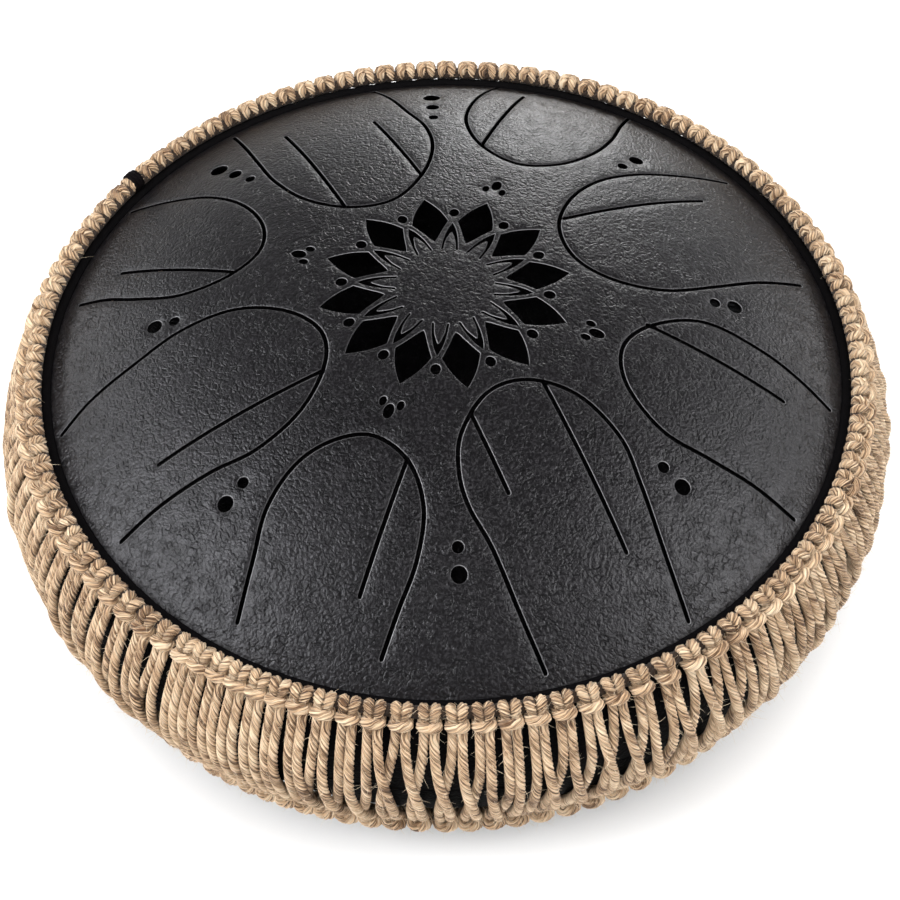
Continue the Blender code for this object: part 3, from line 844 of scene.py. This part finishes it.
def leg(start, end, share, front, generator):
    """Control rows of a hanging cord from the upper to the lower ring, ends left out."""
    depth = CROSSING_DEPTH if front else -CROSSING_DEPTH
    middle = share or 0.5
    wander = generator.normal(0.0, CORD_WANDER) * MM / RING_RADIUS
    rows = []
    top, bottom = CORD_FALL[0][1], CORD_FALL[-1][1]
    for radius, height in CORD_FALL:
        fall = (top - height) / (top - bottom)
        blend = min(1.0, max(0.0, (fall - middle) / CROSSING_SPAN + 0.5))
        blend = blend * blend * (3 - 2 * blend)
        near = math.exp(-((fall - middle) / CROSSING_BULGE) ** 2) if share else 0.0
        sway = wander * math.sin(math.pi * fall)
        swell = 1.0 + CORD_SWELL * fall
        direction = start + (end - start) * blend + sway
        hang = slack(direction, min(1.0, fall / 0.4))
        rows.append((direction, radius + hang + depth * near, height,
                     TWINE_RADIUS * swell, TWINE_TURNS))
    return rows


def net_paths():
    """Control rows of the whole net, as one list for each hitch with its direction.

    The twine runs from each lower knot up to a hitch and down to the next lower knot, all the
    way round. A list starts in the middle of one lower knot and ends in the middle of the next.
    """
    generator = np.random.default_rng(11)
    angles = [math.radians(angle) for angle in hitch_angles()]
    count = len(angles)
    crossed = crossings(generator, count)
    lower = []
    for index in range(count):
        here = angles[index]
        there = angles[(index + 1) % count] + (2 * math.pi if index == count - 1 else 0.0)
        share, shift = crossed[index]
        centre = (here + there) / 2 + shift / RING_RADIUS
        lower.append((share, knot(centre, -1, generator)))
    paths = []
    for index, angle in enumerate(angles):
        upper = knot(angle, 1, generator)
        before_share, before_rows = lower[index - 1]
        after_share, after_rows = lower[index]
        if index == 0:
            before_rows = [(row[0] - 2 * math.pi, *row[1:]) for row in before_rows]
        middle = len(before_rows) // 2
        # A crossing cord arrives at the far side of its lower knot, any other at the near side.
        arriving = before_rows[middle::-1] if before_share else before_rows[middle:]
        leaving = after_rows[middle:][::-1] if after_share else after_rows[:middle + 1]
        left = leg(upper[0][0], arriving[-1][0], before_share, False, generator)[::-1]
        right = leg(upper[-1][0], leaving[0][0], after_share, True, generator)
        paths.append((angle, arriving + left + upper + right + leaving))
    return paths


def cartesian(rows):
    """Rows of direction, distance, height, ... as rows of x, y, z, ..."""
    rows = np.asarray(rows, float)
    return np.column_stack([rows[:, 1] * np.cos(rows[:, 0]), rows[:, 1] * np.sin(rows[:, 0]),
                            SEAM_HEIGHT + rows[:, 2], rows[:, 3:]])


def build_net(jute):
    """The hitched cords between the rings, one piece for each group of cords in the part."""
    width = 2 * math.pi / NET_GROUPS
    generator = np.random.default_rng(23)
    groups = [[] for _ in range(NET_GROUPS)]
    for angle, path in net_paths():
        groups[int(angle % (2 * math.pi) / width)].append(path)
    for index, paths in enumerate(groups):
        twine = Twine()
        for path in paths:
            tone = generator.uniform(0.0, 1.0)
            rows = catmull_rom(cartesian(path), 6)
            points, radii = twine.add_cord(rows, tone)
            share = FUZZ_PER_GROUP // len(paths)
            picks = generator.integers(1, len(points) - 1, share)
            away = points[picks] * (1.0, 1.0, 0.0)
            away /= np.linalg.norm(away, axis=1)[:, None]
            ways = away * 0.8 + generator.normal(0.0, 0.6, (share, 3))
            ways /= np.linalg.norm(ways, axis=1)[:, None]
            roots = points[picks] + ways * radii[picks][:, None] * 0.8
            twine.add_fuzz(roots, ways, generator)
        twine.piece(f"hitched_cords_{index + 1:02d}", jute, [f"net_cords_{index + 1:02d}"])


def binding_direction():
    """Direction of the binding in radians, which is where the rings' cords end."""
    return math.atan2((BINDING_LOW.y + BINDING_HIGH.y) / 2, (BINDING_LOW.x + BINDING_HIGH.x) / 2)


def build_core_cords(jute):
    """The two cords inside the hitches, which hold the net in its two rings."""
    start = binding_direction()
    for name, side, thick, outwards, up, tone in CORE_CORDS:
        rows = [(angle, RING_RADIUS + outwards + (slack(angle, 1.0) if side == -1 else 0.0),
                 side * RING_OFFSET + up, thick, TWINE_TURNS)
                for angle in np.linspace(start, start + 2 * math.pi, CORE_STEPS)]
        twine = Twine()
        twine.add_cord(cartesian(rows), tone)
        twine.piece(f"{name}_core_cord", jute, [f"{name}_cord_ring"])


def build_binding(tape):
    """The black cord wound round the upper ring where its ends meet."""
    centre = binding_direction()
    rows = []
    for step in range(BINDING_TURNS * BINDING_STEPS + 1):
        angle = 2 * math.pi * step / BINDING_STEPS
        along = (step / BINDING_STEPS - BINDING_TURNS / 2) * BINDING_PITCH
        end_share = 2 * along / (BINDING_TURNS * BINDING_PITCH)
        bulge = BINDING_REACH - BINDING_TAPER * end_share ** 2
        rows.append((centre + along / RING_RADIUS, RING_RADIUS + bulge * math.cos(angle),
                     RING_OFFSET + bulge * math.sin(angle), BINDING_CORD_RADIUS, BINDING_TWIST))
    twine = Twine()
    twine.add_cord(cartesian(rows), 0.5, spacing=0.0009, sides=12, plies=3)
    piece = twine.piece("ring_end_binding", tape, ["ring_binding"])


def build_feet(matt_black):
    """Rubber feet with eased edges and a shallow recess underneath, hollowed on top to the shell."""
    for index in range(FOOT_COUNT):
        low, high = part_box(f"foot_{index + 1}")
        centre = Vector(((low.x + high.x) / 2, (low.y + high.y) / 2))
        top = (high.x - low.x) / 2
        base = top - FOOT_FLARE
        # Rings of verts from the middle underneath, up the side and in over the top, each as
        # radius, height and how far up the foot it is. Those with a share have no height yet.
        rings = [(0.55 * base, FOOT_RECESS, 0.0), (0.60 * base, 0.0, 0.0), (base - 0.0020, 0.0, 0.0),
                 (base - 0.0009, 0.0003, 0.0), (base - 0.0002, 0.0011, 0.0), (base, 0.0020, 0.0)]
        side_start = rings[-1][1]
        rings += [(base + FOOT_FLARE * share, 0.0, share) for share in (0.35, 0.7, 0.92)]
        rings += [(top, 0.0, 1.0), (top - 0.0006, 0.0, 1.0)]
        rings += [(radius * top, 0.0, 1.0) for radius in (0.75, 0.5, 0.25)]
        verts = []
        for radius, height, share in rings:
            for step in range(FOOT_STEPS):
                angle = 2 * math.pi * step / FOOT_STEPS
                x, y = centre.x + radius * math.cos(angle), centre.y + radius * math.sin(angle)
                surface = UNDERSIDE_HEIGHT + shell_drop(math.hypot(x, y)) - FOOT_GAP
                z = height if share == 0.0 else side_start + (surface - side_start) * share
                verts.append((x, y, z))
        faces = stacked_bands(0, len(rings), FOOT_STEPS)
        faces.append(tuple(reversed(range(FOOT_STEPS))))
        faces.append(tuple(range((len(rings) - 1) * FOOT_STEPS, len(rings) * FOOT_STEPS)))
        new_piece(f"rubber_foot_{index + 1}", verts, faces, matt_black,
                  [f"foot_{index + 1}"], sharp_angle=60)


# ---------------------------------------------------------------- materials


class Nodes:
    """Short ways to add and join shader nodes in one material."""

    def __init__(self, name):
        self.material = bpy.data.materials.new(name)
        self.material.use_nodes = True
        self.tree = self.material.node_tree
        self.shader = self.tree.nodes["Principled BSDF"]

    def put(self, target, value):
        """Join an output to an input, or set the input's value."""
        if isinstance(value, bpy.types.NodeSocket):
            self.tree.links.new(value, target)
        elif isinstance(value, tuple) and len(value) == 3 and target.type == "RGBA":
            target.default_value = (*value, 1.0)
        else:
            target.default_value = value

    def node(self, kind, settings=None, **inputs):
        """A new node, with its settings and inputs. Input names use _ for a space."""
        node = self.tree.nodes.new(kind)
        for key, value in (settings or {}).items():
            setattr(node, key, value)
        for key, value in inputs.items():
            self.put(node.inputs[key.replace("_", " ")], value)
        return node

    def coordinates(self):
        """Places in the drum's own frame, in metres."""
        return self.node("ShaderNodeTexCoord").outputs["Object"]

    def scaled(self, vector, factors):
        """A vector times a factor for each axis."""
        node = self.node("ShaderNodeVectorMath", {"operation": "MULTIPLY"})
        self.put(node.inputs[0], vector)
        node.inputs[1].default_value = factors
        return node.outputs[0]

    def added(self, vector, other):
        """Two vectors added."""
        node = self.node("ShaderNodeVectorMath", {"operation": "ADD"})
        self.put(node.inputs[0], vector)
        self.put(node.inputs[1], other)
        return node.outputs[0]

    def noise(self, vector, scale, detail=2.0, roughness=0.5):
        """A noise texture's value."""
        node = self.node("ShaderNodeTexNoise", Vector=vector, Scale=scale, Detail=detail,
                         Roughness=roughness)
        return node.outputs[0]

    def math(self, operation, first, second):
        """One sum on two numbers."""
        node = self.node("ShaderNodeMath", {"operation": operation})
        self.put(node.inputs[0], first)
        self.put(node.inputs[1], second)
        return node.outputs[0]

    def ramp(self, value, low, high, start=0.0, end=1.0):
        """A value's range from low to high, moved to the range from start to end."""
        node = self.node("ShaderNodeMapRange", {"clamp": True})
        self.put(node.inputs[0], value)
        for index, number in enumerate((low, high, start, end)):
            self.put(node.inputs[index + 1], number)
        return node.outputs[0]

    def mix(self, share, first, second):
        """Two colours mixed."""
        node = self.node("ShaderNodeMix", {"data_type": "RGBA"})
        self.put(node.inputs[0], share)
        self.put(node.inputs[6], first)
        self.put(node.inputs[7], second)
        return node.outputs[2]

    def attribute(self, name, output="Fac"):
        """A vert attribute of the mesh."""
        return self.node("ShaderNodeAttribute", {"attribute_name": name}).outputs[output]

    def bump(self, height, distance, strength=1.0):
        """A bump from a height of 0 to 1, this many metres tall."""
        return self.node("ShaderNodeBump", Height=height, Distance=distance,
                         Strength=strength).outputs[0]

    def finish(self, **inputs):
        """Set the Principled shader's inputs and hand over the material."""
        for key, value in inputs.items():
            self.put(self.shader.inputs[key.replace("_", " ")], value)
        return self.material


def make_steel():
    """Charcoal leather-grain coating: fine cracks painted dark as shade in their valleys, paler flecks as
    painted highlights, painted highlights on eased edges, and painted shade under the net, on cut walls
    and inside.
    """
    nodes = Nodes("textured_charcoal_coating")
    place = nodes.coordinates()
    wobble = nodes.node("ShaderNodeTexNoise", Vector=place, Scale=300.0, Detail=3.0).outputs[1]
    bent = nodes.added(place, nodes.scaled(wobble, (0.0034, 0.0034, 0.0034)))
    cells = nodes.node("ShaderNodeTexVoronoi", {"feature": "DISTANCE_TO_EDGE"},
                       Vector=bent, Scale=330.0).outputs["Distance"]
    crack = nodes.ramp(cells, 0.02, 0.20, 1.0, 0.0)
    broken = nodes.ramp(nodes.noise(place, 150.0, 2.0), 0.40, 0.60)
    crack = nodes.math("MULTIPLY", crack, broken)
    pebbles = nodes.node("ShaderNodeTexVoronoi", {"feature": "F1"}, Vector=bent,
                         Scale=560.0).outputs["Distance"]
    grain = nodes.noise(place, 700.0, 3.0, 0.62)
    clouds = nodes.noise(place, 16.0, 3.0, 0.55)
    height = nodes.math("SUBTRACT", grain, nodes.math("MULTIPLY", crack, 0.45))
    height = nodes.math("SUBTRACT", height, nodes.math("MULTIPLY", pebbles, 0.45))
    # Between the cracks the colour has slightly paler flecks: painted highlights on the grain.
    painted_grain_highlight = nodes.ramp(nodes.noise(place, 850.0, 2.0, 0.55), 0.48, 0.64)
    painted_grain_highlight = nodes.math("MULTIPLY", painted_grain_highlight, nodes.math("SUBTRACT", 1.0, crack))
    colour = nodes.mix(nodes.ramp(clouds, 0.35, 0.7), (0.0022, 0.0018, 0.0023),
                       (0.0038, 0.0033, 0.0040))
    # The cracks are painted darker still: painted shade in their valleys.
    colour = nodes.mix(nodes.math("MULTIPLY", crack, 0.85), colour, (0.0006, 0.0005, 0.0007))
    colour = nodes.mix(painted_grain_highlight, colour, (0.0150, 0.0142, 0.0160))
    rough = nodes.ramp(nodes.math("ADD", grain, nodes.math("MULTIPLY", clouds, 0.5)),
                       0.5, 1.1, 0.42, 0.30)
    # Painted shade: under the strip and the net the coating is painted nearly black, rougher and with
    # less reflection, for the shade that falls there.
    level = nodes.node("ShaderNodeVectorMath", {"operation": "LENGTH"})
    nodes.put(level.inputs[0], nodes.scaled(place, (1.0, 1.0, 0.0)))
    painted_net_shade = nodes.ramp(level.outputs["Value"], SHOULDER_RADIUS + 0.0005, SHOULDER_RADIUS + 0.004)
    colour = nodes.mix(painted_net_shade, colour, (0.0030, 0.0028, 0.0030))
    rough = nodes.math("ADD", rough, nodes.math("MULTIPLY", painted_net_shade, 0.35))
    shine = nodes.math("SUBTRACT", 0.55, nodes.math("MULTIPLY", painted_net_shade, 0.50))
    # Painted highlight: eased edges are painted pale, most where they face the way the highlight falls.
    # Painted shade: the cut walls and the inside are painted dark, with less reflection.
    painted_highlight_and_shade = nodes.attribute("painted_highlight_and_shade")
    colour = nodes.mix(nodes.ramp(painted_highlight_and_shade, 0.0, 1.0), colour, (0.26, 0.26, 0.27))
    unlit = nodes.ramp(painted_highlight_and_shade, -0.1, -0.8)
    colour = nodes.mix(unlit, colour, (0.0015, 0.0012, 0.0015))
    shine = nodes.math("MULTIPLY", shine, nodes.math("SUBTRACT", 1.0, nodes.math("MULTIPLY", unlit, 0.9)))
    return nodes.finish(Base_Color=colour, Roughness=rough, Specular_IOR_Level=shine,
                        Normal=nodes.bump(height, 0.00042))


def make_jute():
    """Twisted jute: fibres that run with the lay, painted shade between the plies, pale where it frays.
    """
    nodes = Nodes("jute_twine")
    strand = nodes.attribute("strand", "Vector")
    groove = nodes.attribute("groove")
    tone = nodes.attribute("tone")
    place = nodes.coordinates()
    fibres = nodes.noise(nodes.scaled(strand, (2900.0, 2900.0, 170.0)), 1.0, 3.0, 0.65)
    coarse = nodes.noise(nodes.scaled(strand, (800.0, 800.0, 75.0)), 1.0, 2.0, 0.5)
    blotches = nodes.noise(place, 90.0, 2.0)
    light = nodes.math("ADD", nodes.math("MULTIPLY", fibres, 0.6),
                       nodes.math("MULTIPLY", coarse, 0.4))
    light = nodes.math("ADD", light, nodes.ramp(tone, 0.0, 1.0, -0.02, 0.02))
    light = nodes.math("ADD", light, nodes.ramp(blotches, 0.3, 0.7, -0.04, 0.04))
    colour = nodes.mix(nodes.ramp(light, 0.41, 0.49), (0.130, 0.063, 0.027), (0.66, 0.436, 0.256))
    colour = nodes.mix(nodes.ramp(light, 0.50, 0.62), colour, (0.97, 0.79, 0.56))
    # Painted shade: the grooves between the plies are painted dark.
    dark = nodes.math("POWER", groove, 1.2)
    dark = nodes.math("MULTIPLY", dark, nodes.ramp(coarse, 0.38, 0.62, 1.0, 0.32))
    colour = nodes.mix(nodes.math("MULTIPLY", dark, 0.90), colour, (0.055, 0.026, 0.011))
    # A tone above 1 marks loose fibres, which are pale, and one below 0 a core cord painted dark as
    # painted shade.
    colour = nodes.mix(nodes.ramp(tone, 1.1, 1.2), colour, (0.80, 0.66, 0.48))
    colour = nodes.mix(nodes.ramp(tone, -0.5, -0.9), colour, (0.030, 0.017, 0.010))
    height = nodes.math("ADD", nodes.math("MULTIPLY", fibres, 0.8),
                        nodes.math("MULTIPLY", coarse, 0.6))
    return nodes.finish(Base_Color=colour, Roughness=0.80, Specular_IOR_Level=0.25,
                        Sheen_Weight=0.12, Sheen_Roughness=0.5,
                        Normal=nodes.bump(height, 0.00130))


def make_binding():
    """Black waxed cord, with fibres along its lay."""
    nodes = Nodes("black_waxed_cord")
    strand = nodes.attribute("strand", "Vector")
    fibres = nodes.noise(nodes.scaled(strand, (2600.0, 2600.0, 200.0)), 1.0, 3.0, 0.6)
    colour = nodes.mix(nodes.ramp(fibres, 0.35, 0.7), (0.0010, 0.0008, 0.0009), (0.0060, 0.0042, 0.0048))
    return nodes.finish(Base_Color=colour, Roughness=nodes.ramp(fibres, 0.3, 0.7, 0.80, 0.95),
                        Specular_IOR_Level=0.08, Normal=nodes.bump(fibres, 0.0002, 0.8))


def make_adhesive():
    """Black seam filler, slightly uneven."""
    nodes = Nodes("black_seam_filler")
    waves = nodes.noise(nodes.coordinates(), 180.0, 3.0)
    colour = nodes.mix(waves, (0.002, 0.002, 0.002), (0.007, 0.007, 0.007))
    return nodes.finish(Base_Color=colour, Roughness=0.85, Specular_IOR_Level=0.15,
                        Normal=nodes.bump(waves, 0.0003, 0.7))


def make_strip():
    """Matt black with a fine open grain: painted shade under the upper ring."""
    nodes = Nodes("black_painted_shade_strip")
    grain = nodes.noise(nodes.coordinates(), 1900.0, 3.0, 0.7)
    colour = nodes.mix(nodes.ramp(grain, 0.35, 0.7), (0.0010, 0.0009, 0.0010), (0.0040, 0.0036, 0.0040))
    return nodes.finish(Base_Color=colour, Roughness=0.95, Specular_IOR_Level=0.05,
                        Normal=nodes.bump(grain, 0.0002, 0.8))


def make_rubber():
    """Matt black rubber with a fine moulded grain and dusty patches."""
    nodes = Nodes("black_rubber_grain")
    place = nodes.coordinates()
    grain = nodes.noise(place, 1500.0, 2.0)
    dust = nodes.noise(place, 90.0, 3.0)
    colour = nodes.mix(nodes.ramp(dust, 0.4, 0.75), (0.014, 0.014, 0.014), (0.036, 0.035, 0.033))
    return nodes.finish(Base_Color=colour, Roughness=nodes.ramp(dust, 0.3, 0.8, 0.68, 0.85),
                        Normal=nodes.bump(grain, 0.0001, 0.6))


def make_floor():
    """Matt white studio floor."""
    nodes = Nodes("white_studio_floor")
    return nodes.finish(Base_Color=(0.93, 0.93, 0.93), Roughness=0.9, Specular_IOR_Level=0.1)


# ---------------------------------------------------------------- studio


def build_studio():
    """A pale floor, the light of the room, the lamps round the drum, and the camera."""
    mesh = bpy.data.meshes.new("studio_floor")
    corners = [(x * FLOOR_REACH, y * FLOOR_REACH, 0.0) for x, y in ((-1, -1), (1, -1), (1, 1), (-1, 1))]
    mesh.from_pydata(corners, [], [(0, 1, 2, 3)])
    mesh.materials.append(make_floor())
    floor = bpy.data.objects.new("studio_floor", mesh)
    bpy.context.scene.collection.objects.link(floor)

    # The room is bright low down and dim overhead, as a white cove under a dark ceiling is.
    world = bpy.data.worlds.new("studio_world")
    world.use_nodes = True
    tree = world.node_tree
    way = tree.nodes.new("ShaderNodeTexCoord").outputs["Generated"]
    parts = tree.nodes.new("ShaderNodeSeparateXYZ")
    tree.links.new(way, parts.inputs[0])
    fall = tree.nodes.new("ShaderNodeMapRange")
    tree.links.new(parts.outputs["Z"], fall.inputs[0])
    for index, number in enumerate((*WORLD_CHANGE, WORLD_LOW, WORLD_HIGH)):
        fall.inputs[index + 1].default_value = number
    tree.nodes["Background"].inputs["Color"].default_value = (0.99, 0.99, 1.0, 1.0)
    tree.links.new(fall.outputs[0], tree.nodes["Background"].inputs["Strength"])
    bpy.context.scene.world = world

    target = Vector((0.0, 0.0, SEAM_HEIGHT))
    for name, place, width, power, colour, reflection_only in LAMPS:
        light = bpy.data.lights.new(name, "AREA")
        light.shape = "DISK"
        light.size = width
        light.energy = power
        light.color = colour
        lamp = bpy.data.objects.new(name, light)
        lamp.location = place
        lamp.rotation_euler = (target - Vector(place)).to_track_quat("-Z", "Y").to_euler()
        lamp.visible_glossy = reflection_only
        lamp.visible_diffuse = not reflection_only
        bpy.context.scene.collection.objects.link(lamp)

    camera_data = bpy.data.cameras.new("camera")
    camera_data.lens = CAMERA_LENS
    camera_data.sensor_width = 36.0
    camera = bpy.data.objects.new("camera", camera_data)
    camera.location = CAMERA_PLACE
    tilt = Matrix.Rotation(math.radians(90 - CAMERA_ELEVATION), 4, "X")
    roll = Matrix.Rotation(math.radians(CAMERA_ROLL), 4, "Z")
    camera.rotation_euler = (tilt @ roll).to_euler()
    bpy.context.scene.collection.objects.link(camera)
    bpy.context.scene.camera = camera
    bpy.context.scene.view_settings.view_transform = "Standard"


def main():
    """Build the studio and every visible piece of the drum."""
    build_studio()
    steel = make_steel()
    jute = make_jute()
    build_playing_shell(steel)
    build_lower_shell(steel)
    build_seam(make_adhesive())
    build_rim_strip(make_strip())
    build_core_cords(jute)
    build_net(jute)
    build_binding(make_binding())
    build_feet(make_rubber())


main()
